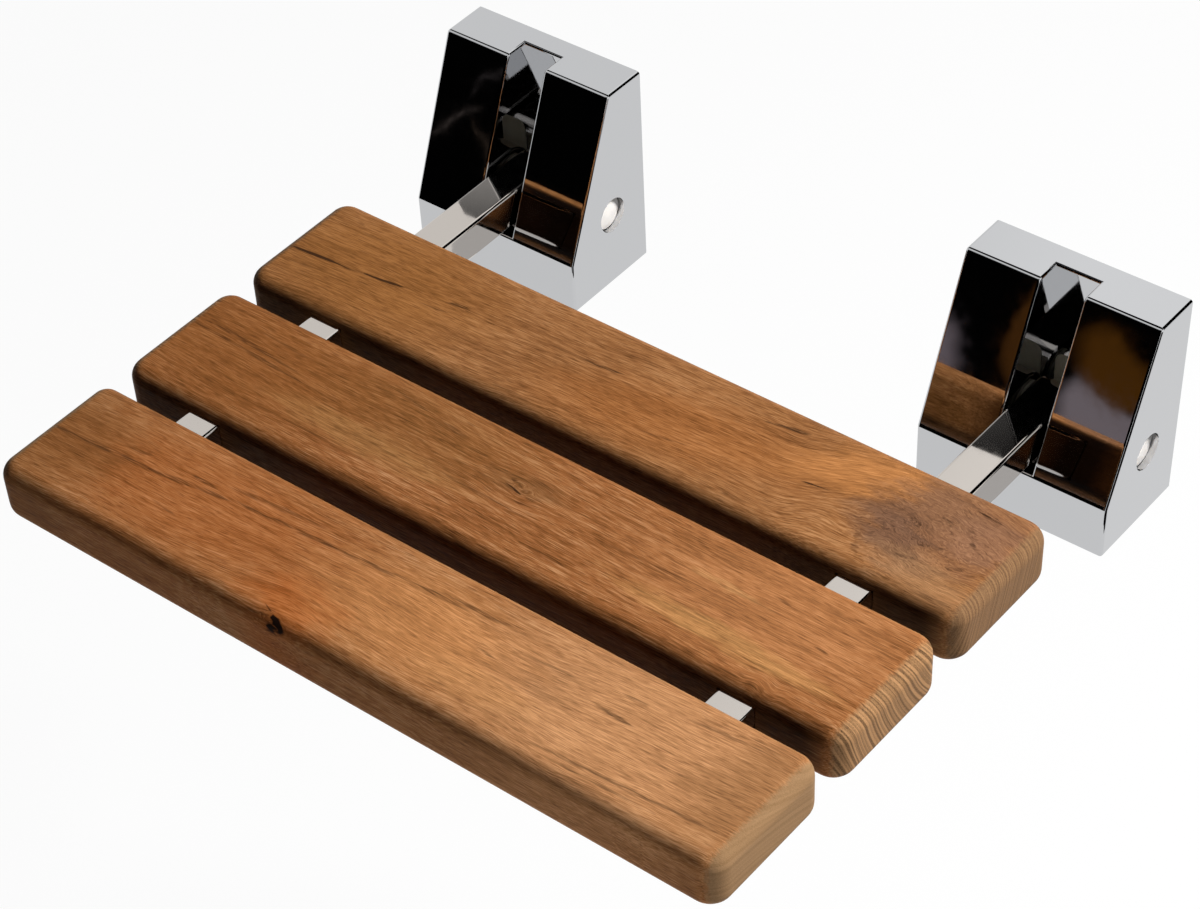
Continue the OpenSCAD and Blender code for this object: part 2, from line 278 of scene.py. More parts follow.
def makeBracket():
    size = bracketSize
    half, wide, wall, back = size["width"] / 2, size["channelWidth"] / 2, size["wall"], size["channelBack"]
    inner = wall - size["footDepth"]
    floorTop, lipTop = foot + size["channelFloor"], foot + size["lip"]
    shell = addLeaningBox("bracketLeft", (-half, -size["footDepth"], foot), (half, 6, -foot))
    rounding = shell.modifiers.new("edges", "BEVEL")
    rounding.limit_method = "ANGLE"
    rounding.angle_limit = radians(30)
    rounding.width = size["edge"] * mm
    rounding.segments = 6
    applyModifiers(shell)
    selectAll(shell)  # cut off in the wall plane
    bpy.ops.mesh.bisect(plane_co=(0, 0, 0), plane_no=(0, 1, 0), clear_outer=True, use_fill=True)
    leaveEdit()

    hollow = addLeaningBox("hollow", (wall - half, inner, foot + wall), (half - wall, 3, -foot - wall))
    walls = addBox("channelWalls", (-wide - wall, -far, floorTop - wall), (wide + wall, back + wall, above))
    booleanWith(hollow, walls)
    booleanWith(shell, hollow)
    channel = addBox("channel", (-wide, inner, floorTop), (wide, back, above))
    booleanWith(channel, addBox("aboveLip", (-wide, -far, lipTop), (wide, inner + 1, above)), "UNION")
    joinFlatFaces(channel)
    booleanWith(shell, channel)
    joinFlatFaces(shell)
    roundRims(shell, wide, lipTop)

    pivot = size["pivot"]
    for side in (-1, 1):
        ends = sorted((side * (wide + 2), side * (half - 2)))
        booleanWith(shell, addRod("boss", size["bossRadius"], *ends, *pivot), "UNION")
    booleanWith(shell, addRod("bore", size["boreRadius"], -half - 2, half + 2, *pivot))
    for side in (-1, 1):
        ends = sorted((side * (half - size["capDepth"]), side * (half + 2)))
        booleanWith(shell, addRod("recess", size["capRadius"], *ends, *pivot, 96))

    w, h, z, corner = size["padWindow"]
    window = addBox("window", (-w / 2, back - 1, z - h / 2), (w / 2, back + wall + 1, z + h / 2))
    selectWhere(window, "edges", lambda e: abs(edgeMiddle(window, e).x) > 1 * mm
                and abs(edgeMiddle(window, e).z / mm - z) > 1)
    bpy.ops.mesh.bevel(offset=corner * mm, segments=8, affect="EDGES")
    leaveEdit()
    booleanWith(shell, window)

    x, y = size["screws"]
    for side in (-1, 1):
        booleanWith(shell, addCone("sink", size["headRadius"], size["screwRadius"], size["headDepth"],
                                   (side * x, y, foot + size["headMiddle"])))
        deselectAll()
        bpy.ops.mesh.primitive_cylinder_add(vertices=32, radius=size["screwRadius"] * mm, depth=10 * mm,
                                            location=(side * x * mm, y * mm, foot * mm))
        drill = bpy.context.object
        applyPlace(drill)
        booleanWith(shell, drill)
    shadeSmooth(shell, 18)
    return shell


bracketLeft = makeBracket()
bracketRight = copyTo(bracketLeft, "bracketRight", bracketSize["pitch"] / 2)
bracketLeft.location.x = -bracketSize["pitch"] / 2 * mm
applyPlace(bracketLeft)
dress(bracketLeft, chrome, "wall_brackets", ["bracket_left"])
dress(bracketRight, chrome, "wall_brackets", ["bracket_right"])
print("brackets made", len(bracketLeft.data.polygons))


# arms: straight bars with a round eye and a square heel behind it
armSize = {
    "width": 18, "height": 18, "edge": 1.6, "bottom": -19.5, "front": -304.5,
    "eye": 12, "heelDrop": 9, "heelRun": 15, "boreRadius": 6.5,
}


def makeArm():
    half, bottom, eye = armSize["width"] / 2, armSize["bottom"], armSize["eye"]
    pivotY, pivotZ = bracketSize["pivot"]
    bar = addBox("armLeft", (-half, armSize["front"], bottom), (half, pivotY, bottom + armSize["height"]))
    booleanWith(bar, addRod("eye", eye, -half, half, pivotY, pivotZ, 96), "UNION")
    heelBottom = pivotZ - armSize["heelDrop"]
    heel = addBox("heel", (-half, pivotY - armSize["heelRun"], heelBottom), (half, pivotY + eye, pivotZ))
    selectAll(heel)
    bpy.ops.mesh.bisect(plane_co=(0, pivotY * mm, 0), plane_no=(0, 1, 0))
    leaveEdit()
    # its front ramps up to the bar
    selectWhere(heel, "vertices", lambda v: v.co.y < (pivotY - 1) * mm and v.co.z < (pivotZ - 1) * mm)
    bpy.ops.transform.translate(value=(0, 0, (bottom - pivotZ + armSize["heelDrop"]) * mm))
    leaveEdit()
    booleanWith(bar, heel, "UNION")
    joinFlatFaces(bar)
    selectWhere(bar, "edges", lambda e: abs(edgeMiddle(bar, e).x) > (half - 0.1) * mm)
    bpy.ops.mesh.bevel(offset=armSize["edge"] * mm, segments=5, affect="EDGES", clamp_overlap=False)
    leaveEdit()
    booleanWith(bar, addRod("bore", armSize["boreRadius"], -half - 2, half + 2, pivotY, pivotZ))
    shadeSmooth(bar)
    return bar


armLeft = makeArm()
armRight = copyTo(armLeft, "armRight", bracketSize["pitch"] / 2)
armLeft.location.x = -bracketSize["pitch"] / 2 * mm
applyPlace(armLeft)
dress(armLeft, armChrome, "seat", ["arm_left"])
dress(armRight, armChrome, "seat", ["arm_right"])
print("arms made", len(armLeft.data.polygons))


# slats: boards with round corners and edges, mortised for the arms, with a screw from below at each crossing
slatSize = {
    "length": 381, "width": 69, "top": 4, "thick": 28, "corner": 10, "edge": 7,
    "backs": {"slatBack": -99.5, "slatMiddle": -178, "slatFront": -256.5},
    "tightCorner": {"slatBack": 9, "slatMiddle": 9, "slatFront": 7.6},  # the left back corner is rounded less
    "mortise": 18.6, "tenon": 48.3,  # width of the mortises, and how deep they are in the front slat
    "headRadius": 5.1, "screwRadius": 2.6, "headDepth": 2.6, "headMiddle": 1.29,
}


def makeSlat(name):
    size = slatSize
    back = size["backs"][name]
    half, bottom = size["length"] / 2, size["top"] - size["thick"]
    slat = addBox(name, (-half, back - size["width"], bottom), (half, back, size["top"]))
    tightPlace = Vector((-half, back)) * mm

    def isCorner(e, tight):
        low, high = (slat.data.vertices[i].co.z for i in e.vertices)
        atTight = (edgeMiddle(slat, e).xy - tightPlace).length < 12 * mm
        return abs(low - high) > 10 * mm and atTight == tight

    for radius, tight in ((size["tightCorner"][name], True), (size["corner"], False)):
        selectWhere(slat, "edges", lambda e: isCorner(e, tight))
        bpy.ops.mesh.bevel(offset=radius * mm, segments=10, affect="EDGES")
        leaveEdit()
    middle = (bottom + size["thick"] / 2) * mm
    selectWhere(slat, "edges", lambda e: abs(edgeMiddle(slat, e).z - middle) > 12 * mm)
    bpy.ops.mesh.bevel(offset=size["edge"] * mm, segments=8, affect="EDGES", clamp_overlap=False)
    leaveEdit()
    depth = size["tenon"] if name == "slatFront" else size["width"] + 2
    g = size["mortise"] / 2
    z = armSize["bottom"] + armSize["height"] / 2
    for side in (-1, 1):
        x = side * bracketSize["pitch"] / 2
        booleanWith(slat, addBox("mortise", (x - g, back - depth, z - g), (x + g, back + 2, z + g)))
        booleanWith(slat, addCone("sink", size["headRadius"], size["screwRadius"], size["headDepth"],
                                  (x, back - size["width"] / 2, bottom + size["headMiddle"])))
    shadeSmooth(slat)
    return slat


# oiled teak, planed and sanded: long brown fibres with darker growth bands, open pores and a few dark streaks
# the figure's layers are noises drawn out along the grain: length, width, detail and roughness
grainLayers = {
    "fibre": (9, 0.42, 2.0, 0.65), "line": (34, 0.9, 2.0, 0.55), "band": (110, 4.5, 2.0, 0.5),
    "cloud": (60, 15, 2.0, 0.5), "pore": (6, 0.55, 0.0, 0.5), "fleck": (11, 0.9, 1.0, 0.5), "gap": (9, 0.8, 1.0, 0.5),
}
# what each slat has of its own; (x, y) places are those of the seat seen from above
teakSetup = {
    "slatBack": {
        "seed": (40, 7, 0), "rear": -99.5, "slope": 2.5, "wander": 4, "pith": (-560, 120), "ringGap": 2.2,
        "rings": 0.45, "tones": ("#623D20", "#93623A", "#B58458"), "bands": 0.9, "lines": 1.0,
        "endTones": ("#4A3424", "#93704F"),
        "arch": (137, -122, 66, 60, 17),  # middle x, middle y, half length, half width, height
        "whirl": (118, -150, 26, 18, 0.32),  # middle x, middle y, half length, half width, turn in radians
        "knot": (165, -135, 34, 26, 0.5),  # middle x, middle y, half length, half width, how far the grain gives way
        "rough": (152, -130, 44, 44),  # where the grain stands on end
        "tints": [  # middle x, middle y, half length, half width, turn in degrees, strength, colour
            (30, -140, 90, 26, 8, 0.35, "#A2602B"), (112, -118, 44, 17, 24, 0.6, "#BC7E48"),
            (150, -118, 26, 26, 0, 0.7, "#7E5C46"), (142, -142, 18, 34, 60, 0.75, "#6C5040"),
            (175, -125, 24, 30, -20, 0.75, "#86614A"), (-140, -135, 80, 50, 0, 0.6, "#94602F"),
            # the second tint on the next line, on the back slat's rear edge, is painted shade
            (165, -156, 34, 14, -12, 0.5, "#A87E58"), (84, -96, 44, 8, 0, 0.7, "#50300F"),
        ],
        "marks": [  # from x, y, to x, y, half width, strength
            (-190, -141.6, -152, -138.4, 0.9, 1.0), (-150, -138, -118, -134.6, 0.8, 1.0),
            (-103, -132.4, -89, -129.4, 1.1, 0.8), (-92, -131, -86, -131.2, 0.9, 0.7),
            (-109, -139, -95, -137, 0.7, 0.6), (-28, -128, -6, -125.8, 0.8, 0.9), (-46, -128, -26, -127.4, 0.6, 0.4),
            (18, -150.6, 40, -146, 0.6, 0.5), (62, -115.4, 78, -111.4, 1.2, 0.8), (94, -136.8, 105, -135.4, 0.6, 1.0),
            (162, -110.4, 175, -112.2, 0.7, 0.9), (-165, -115.4, -146, -116, 0.9, 0.35),
            (-146, -143.6, -138, -143, 0.7, 0.5), (-186, -150, -150, -146, 0.8, 0.35),
            (-50, -162, -30, -162.6, 1.2, 0.4), (128, -146, 136, -160, 1.8, 0.35), (140, -128, 150, -132, 1.6, 0.7),
            (152, -141, 162, -137, 1.2, 0.6), (60, -162, 84, -160, 1.0, 0.35), (150, -121, 158, -125, 0.9, 0.6),
            (168, -127, 177, -132, 1.2, 0.7), (146, -151, 157, -148, 1.2, 0.5), (170, -146, 178, -142, 1.0, 0.6),
        ],
    },
    "slatMiddle": {
        "seed": (400, 30, 10), "rear": -178, "slope": -0.8, "wander": 3, "pith": (-135, 25), "ringGap": 3.0,
        "rings": 0.62, "tones": ("#5E3A1D", "#965E34", "#BD8B60"), "bands": 1.1, "lines": 1.1,
        "endTones": ("#4C3624", "#B58A60"), "arch": (-60, -192, 60, 20, 2.5), "whirl": (150, -240, 10, 10, 0.4),
        "knot": (3, -208, 26, 15, 0.5), "rough": (3, -206, 9, 4),
        "tints": [
            (3, -206, 20, 10, 6, 0.4, "#6F5034"), (-60, -200, 84, 30, 0, 0.45, "#80562C"),
            (130, -205, 84, 44, 0, 0.6, "#AF764A"), (120, -228, 70, 7, -2, 0.45, "#C9965C"),
            (105, -203.6, 22, 3, 0, 0.4, "#C4935F"), (-150, -210, 90, 50, 0, 0.7, "#875328"),
            (-70, -222, 70, 10, 0, 0.3, "#A87E4C"),
        ],
        "marks": [
            (-4.5, -207.8, 7, -210.6, 0.6, 1.0), (-6, -204, 0, -206.6, 1.0, 0.4), (8, -210.6, 15, -209.4, 0.9, 0.5),
            (6, -214.6, 16, -213, 1.0, 0.35), (-190, -200.6, -122, -205.4, 1.3, 0.7),
            (-188, -205.4, -100, -210.4, 1.1, 0.6), (-54, -194.4, -36, -195.4, 2.0, 0.4),
            (-78, -190, -62, -192, 1.2, 0.35), (56, -204.4, 64, -205, 1.5, 0.5), (122, -197.4, 130, -198.6, 1.0, 0.5),
            (152, -211, 160, -211.6, 0.6, 0.7), (45, -213, 94, -210.4, 0.9, 0.4), (-34, -218.4, 20, -219.6, 1.0, 0.4),
            (90, -222, 112, -224, 1.0, 0.35), (-160, -194, -120, -196, 0.9, 0.35),
            (-40, -208.8, -10, -209.4, 0.8, 0.4),
        ],
    },
    "slatFront": {
        "seed": (800, 90, 40), "rear": -256.5, "slope": 1.8, "wander": 4, "pith": (-330, -190), "ringGap": 4.6,
        "rings": 0.3, "tones": ("#683F20", "#A06A3F", "#C39469"), "bands": 0.8, "lines": 1.0,
        "endTones": ("#765838", "#9C7B59"), "arch": (-30, -326, 70, 60, 5), "whirl": (150, -330, 10, 10, 0.4),
        "knot": (-30, -324, 30, 22, 0.6), "rough": (-30, -326, 14, 8),
        "tints": [
            (-100, -290, 110, 44, 2, 0.5, "#A65C28"), (-30, -314, 30, 22, 0, 0.6, "#A85A24"),
            (120, -290, 100, 60, 0, 0.55, "#CC9668"), (18, -292, 64, 34, 0, 0.55, "#C98A54"),
            (178, -290, 26, 44, 0, 0.6, "#946842"), (-176, -294, 44, 40, 0, 0.6, "#7C5029"),
            (60, -306, 40, 12, 0, 0.3, "#C28C58"),
        ],
        "marks": [
            (-190, -292.4, -128, -287.6, 1.5, 0.75), (-142, -289.4, -84, -281.4, 1.5, 0.75),
            (-92, -282, -30, -278, 1.5, 0.85), (-34, -278.6, 4, -276, 1.5, 0.7), (2, -276, 50, -271.6, 2.0, 0.7),
            (-98, -276.4, -48, -272.2, 1.6, 0.6), (-113, -280.2, -100, -280.8, 0.9, 0.8),
            (-150, -283, -134, -281, 1.0, 0.5), (-118, -301.4, -106, -302.6, 0.9, 0.55),
            (104, -285.4, 124, -286.2, 1.2, 0.9), (108, -274.6, 118, -274, 0.9, 0.5), (48, -288.6, 58, -289, 0.9, 0.6),
            (140, -270.6, 176, -266, 1.2, 0.45), (96, -315.4, 186, -309.8, 1.2, 0.6),
            (108, -318, 150, -316.6, 1.0, 0.5), (60, -297, 74, -298, 0.9, 0.4), (-36, -321.4, -23, -325.6, 1.25, 1.2),
            (-31, -323, -24.5, -325.6, 1.25, 1.2), (-33, -324.4, -26, -326, 1.0, 1.2),
            (-38.6, -319.2, -36.4, -321.6, 0.8, 0.8), (-46, -323.5, -36, -323, 0.7, 0.6),
            (70, -280, 90, -279, 1.0, 0.4), (140, -296, 160, -295, 1.0, 0.4),
        ],
    },
}


# 1 in the middle of an oval and 0 from its rim outwards, fitted to the limits
def addOvalMask(tree, vector, middle, reach, turn, limits, curve="LINEAR"):
    oval = addNode(tree, "ShaderNodeMapping", {"Vector": vector, "Location": middle, "Rotation": turn, "Scale": reach},
                   vector_type="TEXTURE")
    oval = addNode(tree, "ShaderNodeTexGradient", {"Vector": oval}, gradient_type="SPHERICAL")
    return addNode(tree, "ShaderNodeMapRange", {"Value": oval.outputs["Fac"], **limits}, interpolation_type=curve)


def makeTeak(name, setup):
    material, tree = newMaterial(name)
    place = addNode(tree, "ShaderNodeTexCoord")
    inMm = addNode(tree, "ShaderNodeMapping", {"Vector": place.outputs["Object"], "Scale": (1000, 1000, 1000)})

    def addGrainSpot(key, limits):
        x, y, halfLength, halfWidth = setup[key][:4]
        return addOvalMask(tree, inMm, (x, y, 0), (halfLength, halfWidth, 60), (0, 0, 0), limits, "SMOOTHSTEP")

    # the grain wanders a little, rises in an arch, turns in a whirl and gives way round a knot
    wide = addNode(tree, "ShaderNodeMapping", {"Vector": inMm, "Location": setup["seed"],
                                               "Scale": (1 / 90, 1 / 32, 1 / 32)})
    wide = addNode(tree, "ShaderNodeTexNoise", {"Vector": wide, "Scale": 1.0, "Detail": 1.0})
    shift = addNode(tree, "ShaderNodeVectorMath", {0: wide.outputs["Color"], 1: (0.5, 0.5, 0.5)}, operation="SUBTRACT")
    shift = addNode(tree, "ShaderNodeVectorMath", {0: shift, 1: (0, setup["wander"] * 2, setup["wander"])},
                    operation="MULTIPLY")
    flow = addNode(tree, "ShaderNodeVectorMath", {0: inMm, 1: shift}, operation="ADD")
    rise = addNode(tree, "ShaderNodeCombineXYZ", {"Y": addGrainSpot("arch", {"To Max": setup["arch"][4]})})
    flow = addNode(tree, "ShaderNodeVectorMath", {0: flow, 1: rise}, operation="SUBTRACT")
    angle = addGrainSpot("whirl", {"To Max": setup["whirl"][4]})
    flow = addNode(tree, "ShaderNodeVectorRotate", {"Vector": flow, "Center": (*setup["whirl"][:2], 0),
                                                    "Axis": (0, 0, 1), "Angle": angle})
    local = addNode(tree, "ShaderNodeVectorMath", {0: flow, 1: (*setup["knot"][:2], 0)}, operation="SUBTRACT")
    local = addNode(tree, "ShaderNodeVectorMath", {0: local, 1: (0, 1, 0)}, operation="MULTIPLY")
    pinch = addGrainSpot("knot", {"To Max": -setup["knot"][4]})
    local = addNode(tree, "ShaderNodeVectorMath", {0: local, "Scale": pinch}, operation="SCALE")
    flow = addNode(tree, "ShaderNodeVectorMath", {0: flow, 1: local}, operation="ADD")

    # where the grain stands on end it runs short and every way
    curly = addNode(tree, "ShaderNodeMapping", {"Vector": inMm, "Scale": (1 / 11, 1 / 7, 1 / 7)})
    curly = addNode(tree, "ShaderNodeTexNoise", {"Vector": curly, "Scale": 1.0, "Detail": 2.5, "Roughness": 0.6})
    curly = addNode(tree, "ShaderNodeVectorMath", {0: curly.outputs["Color"], 1: (0.5, 0.5, 0.5)},
                    operation="SUBTRACT")
    onEnd = addGrainSpot("rough", {"From Max": 0.6})
    amount = addNode(tree, "ShaderNodeMath", {0: onEnd, 1: 6.0}, operation="MULTIPLY")
    curly = addNode(tree, "ShaderNodeVectorMath", {0: curly, "Scale": amount}, operation="SCALE")
    flow = addNode(tree, "ShaderNodeVectorMath", {0: flow, 1: curly}, operation="ADD")
    grain = addNode(tree, "ShaderNodeMapping", {"Vector": flow, "Rotation": (0, 0, radians(-setup["slope"]))})

    # growth rings round the tree's middle, which runs along X beside and below the board
    offset = addNode(tree, "ShaderNodeVectorMath", {0: inMm, 1: (0, *setup["pith"])}, operation="SUBTRACT")
    offset = addNode(tree, "ShaderNodeVectorMath", {0: offset, 1: (0.004, 1, 1)}, operation="MULTIPLY")
    radius = addNode(tree, "ShaderNodeVectorMath", {0: offset}, operation="LENGTH")
    radius = addNode(tree, "ShaderNodeMath", {0: radius, 1: setup["ringGap"] / 2.2}, operation="DIVIDE")
    rings = addNode(tree, "ShaderNodeTexNoise", {"W": radius, "Scale": 1.0, "Detail": 1.5}, noise_dimensions="1D")
    lateWood = addNode(tree, "ShaderNodeMapRange", {"Value": rings, "From Min": 0.54, "From Max": 0.68})

    # the cut ends begin at an uneven line on the rounding
    apart = addNode(tree, "ShaderNodeSeparateXYZ", {0: inMm})
    fromMiddle = addNode(tree, "ShaderNodeMath", {0: apart.outputs["X"]}, operation="ABSOLUTE")
    uneven = addNode(tree, "ShaderNodeMapping", {"Vector": inMm, "Location": setup["seed"],
                                                 "Scale": (1 / 3, 1 / 0.8, 1 / 3)})
    uneven = addNode(tree, "ShaderNodeTexNoise", {"Vector": uneven, "Scale": 1.0, "Detail": 1.0})
    fromMiddle = addNode(tree, "ShaderNodeMath", {0: uneven, 1: 3.0, 2: fromMiddle}, operation="MULTIPLY_ADD")
    fromMiddle = addNode(tree, "ShaderNodeMath", {0: fromMiddle, 1: 1.5}, operation="SUBTRACT")
    endGrain = addNode(tree, "ShaderNodeMapRange", {"Value": fromMiddle, "From Min": 184.4, "From Max": 186.6})

    # the tone is the sum of fibres, lines, bands and clouds, darker in the late wood
    seeded = addNode(tree, "ShaderNodeVectorMath", {0: grain, 1: setup["seed"]}, operation="ADD")
    layers = {}
    for layer, (length, width, detail, roughness) in grainLayers.items():
        drawn = addNode(tree, "ShaderNodeMapping", {"Vector": seeded, "Scale": (1 / length, 1 / width, 1 / width)})
        layers[layer] = addNode(tree, "ShaderNodeTexNoise", {"Vector": drawn, "Scale": 1.0, "Detail": detail,
                                                             "Roughness": roughness})
    tone = addNode(tree, "ShaderNodeMath", {0: layers["fibre"], 1: -0.5}, operation="ADD")
    tone = addNode(tree, "ShaderNodeMath", {0: tone, 1: 1.9, 2: 0.5}, operation="MULTIPLY_ADD")
    for layer, share in (("line", 0.62 * setup["lines"]), ("band", 0.7 * setup["bands"]), ("cloud", 0.55)):
        centred = addNode(tree, "ShaderNodeMath", {0: layers[layer], 1: 0.5}, operation="SUBTRACT")
        tone = addNode(tree, "ShaderNodeMath", {0: centred, 1: share, 2: tone}, operation="MULTIPLY_ADD")
    tone = addNode(tree, "ShaderNodeMath", {0: lateWood, 1: -0.10, 2: tone}, operation="MULTIPLY_ADD")
    dark, middle, light = (linearColour(c) for c in setup["tones"])
    lower = addNode(tree, "ShaderNodeMapRange", {"Value": tone, "From Min": 0.0, "From Max": 0.5})
    upper = addNode(tree, "ShaderNodeMapRange", {"Value": tone, "From Min": 0.5, "From Max": 1.0})
    colour = addNode(tree, "ShaderNodeMix", {0: lower, 6: dark, 7: middle}, data_type="RGBA")
    colour = addNode(tree, "ShaderNodeMix", {0: upper, 6: colour, 7: light}, data_type="RGBA")

    # warmer, greyer and darker places of the wood, and painted shade at the back slat's rear edge, each with the lights
    # and darks of the grain under it
    relief = addNode(tree, "ShaderNodeMapRange", {"Value": tone, "From Min": 0.1, "From Max": 0.9, "To Min": 0.72,
                                                  "To Max": 1.28})

    def addTintOrPaintedShade(colour, mask, tint):
        patchColour = addNode(tree, "ShaderNodeVectorMath", {0: linearColour(tint)[:3], "Scale": relief}, operation="SCALE")
        return addNode(tree, "ShaderNodeMix", {0: mask, 6: colour, 7: patchColour}, data_type="RGBA")

    ragged = addNode(tree, "ShaderNodeMapping", {"Vector": inMm, "Location": setup["seed"],
                                                 "Scale": (1 / 20, 1 / 6, 1 / 6)})
    ragged = addNode(tree, "ShaderNodeTexNoise", {"Vector": ragged, "Scale": 1.0, "Detail": 2.5, "Roughness": 0.6})
    ragged = addNode(tree, "ShaderNodeVectorMath", {0: ragged.outputs["Color"], 1: (0.5, 0.5, 0.5)},
                     operation="SUBTRACT")
    raggedWide = addNode(tree, "ShaderNodeVectorMath", {0: ragged, 1: (40, 14, 0), 2: inMm}, operation="MULTIPLY_ADD")
    for x, y, halfLength, halfWidth, turn, strength, tint in setup["tints"]:
        mask = addOvalMask(tree, raggedWide, (x, y, 0), (halfLength, halfWidth, 60), (0, 0, radians(turn)),
                           {"From Max": 0.6, "To Max": strength})
        colour = addTintOrPaintedShade(colour, mask, tint)

    # painted shade: the rear face is darkened where the brackets would shade it, most at the arms, in full for mirror
    # rays and at 45 % for the rest
    rays = addNode(tree, "ShaderNodeLightPath")
    depth = addNode(tree, "ShaderNodeMapRange", {"Value": rays.outputs["Is Glossy Ray"], "To Min": 0.45})
    rear = addNode(tree, "ShaderNodeMapRange", {"Value": apart.outputs["Y"], "From Min": setup["rear"] - 2.5,
                                               "From Max": setup["rear"] - 0.8, "To Max": depth})
    for along, start, end, tint in ((fromMiddle, 92, 108, "#3A200A"), (apart.outputs["X"], -86, -98, "#1C0D05"),
                                    (fromMiddle, 112, 124, "#100602"), (fromMiddle, 158, 172, "#341B08")):
        mask = addNode(tree, "ShaderNodeMapRange", {"Value": along, "From Min": start, "From Max": end})
        mask = addNode(tree, "ShaderNodeMath", {0: mask, 1: rear}, operation="MULTIPLY")
        colour = addTintOrPaintedShade(colour, mask, tint)

    # open pores: dark lines along the grain, close together in some places
    pore = addNode(tree, "ShaderNodeMapRange", {"Value": layers["pore"], "From Min": 0.58, "From Max": 0.74,
                                                "To Max": 0.4})
    fleck = addNode(tree, "ShaderNodeMapRange", {"Value": layers["fleck"], "From Min": 0.64, "From Max": 0.78,
                                                 "To Max": 0.5})
    often = addNode(tree, "ShaderNodeMapRange", {"Value": layers["cloud"], "From Min": 0.62, "From Max": 0.42})
    fleck = addNode(tree, "ShaderNodeMath", {0: fleck, 1: often}, operation="MULTIPLY")
    pits = addNode(tree, "ShaderNodeMath", {0: pore, 1: fleck}, operation="MAXIMUM")
    deep = addNode(tree, "ShaderNodeVectorMath", {0: colour, 1: (0.36, 0.30, 0.26)}, operation="MULTIPLY")
    colour = addNode(tree, "ShaderNodeMix", {0: pits, 6: colour, 7: deep}, data_type="RGBA")

    # dark streaks and cracks, each a bundle of broken fibres
    raggedThin = addNode(tree, "ShaderNodeVectorMath", {0: ragged, 1: (16, 1.3, 0), 2: inMm}, operation="MULTIPLY_ADD")
    total = None
    for x0, y0, x1, y1, halfWidth, strength in setup["marks"]:
        run = Vector((x1 - x0, y1 - y0))
        most = strength * (0.85 if halfWidth < 1.3 else 0.75)
        mask = addOvalMask(tree, raggedThin, ((x0 + x1) / 2, (y0 + y1) / 2, 3),
                           (run.length * 0.62, halfWidth * 1.05, 8), (0, 0, atan2(run.y, run.x)),
                           {"From Max": 0.4, "To Max": most})
        total = addNode(tree, "ShaderNodeMath", {0: mask, 1: total}, operation="MAXIMUM") if total else mask
    broken = addNode(tree, "ShaderNodeMapRange", {"Value": layers["gap"], "From Min": 0.38, "From Max": 0.56,
                                                  "To Min": 0.12})
    solid = addNode(tree, "ShaderNodeMapRange", {"Value": total, "From Min": 0.65, "From Max": 0.85})
    broken = addNode(tree, "ShaderNodeMath", {0: broken, 1: solid}, operation="MAXIMUM")
    crack = addNode(tree, "ShaderNodeMath", {0: total, 1: broken}, operation="MULTIPLY")
    colour = addNode(tree, "ShaderNodeMix", {0: crack, 6: colour, 7: linearColour("#1E1009")}, data_type="RGBA")

    # the cut ends are a paler tan and show only rings, as dark lines, and pores
    cut = addNode(tree, "ShaderNodeMath", {0: layers["fibre"], 1: 1.1, 2: 0.3}, operation="MULTIPLY_ADD")
    ring = addNode(tree, "ShaderNodeMapRange", {"Value": rings, "From Min": 0.38, "From Max": 0.62})
    cut = addNode(tree, "ShaderNodeMath", {0: ring, 1: -setup["rings"], 2: cut}, operation="MULTIPLY_ADD")
    cut = addNode(tree, "ShaderNodeClamp", {"Value": cut})
    late, early = (linearColour(c) for c in setup["endTones"])
    ends = addNode(tree, "ShaderNodeMix", {0: cut, 6: late, 7: early}, data_type="RGBA")
    colour = addNode(tree, "ShaderNodeMix", {0: endGrain, 6: colour, 7: ends}, data_type="RGBA")

    height = addNode(tree, "ShaderNodeMath", {0: pits, 1: -0.8, 2: layers["fibre"]}, operation="MULTIPLY_ADD")
    bump = addNode(tree, "ShaderNodeBump", {"Height": height, "Strength": 0.6, "Distance": 0.15 * mm})
    sheen = addNode(tree, "ShaderNodeMapRange", {"Value": layers["line"], "From Min": 0.3, "From Max": 0.7,
                                                 "To Min": 0.48, "To Max": 0.62})
    # painted shade: for light bounced off the wood its colour drops to 15 %, so a slat throws little light on the next
    # one and the gaps stay nearly black
    bounceShadeColour = addNode(tree, "ShaderNodeVectorMath", {0: colour, "Scale": 0.15}, operation="SCALE")
    colour = addNode(tree, "ShaderNodeMix", {0: rays.outputs["Is Diffuse Ray"], 6: colour, 7: bounceShadeColour}, data_type="RGBA")
    shader = addNode(tree, "ShaderNodeBsdfPrincipled", {"Base Color": colour, "Roughness": sheen, "IOR": 1.45,
                                                       "Specular IOR Level": 0.06, "Normal": bump})
    addNode(tree, "ShaderNodeOutputMaterial", {"Surface": shader})
    return material


slats = {name: makeSlat(name) for name in slatSize["backs"]}
for name, node in (("slatBack", "slat_back"), ("slatMiddle", "slat_middle"), ("slatFront", "slat_front")):
    dress(slats[name], makeTeak("oiled teak " + node.split("_")[1], teakSetup[name]), "seat", [node])
print("slats made")


# caps: smooth white discs, a little domed, pressed over the pin's ends
capSize = {"radius": 8.5, "thick": 3, "recess": 3, "edge": 0.7, "dome": 0.4}
domeSteps = ((2.6, 0.55), (2.4, 0.3), (1.8, 0.15))  # how far inwards each, and its share of the dome


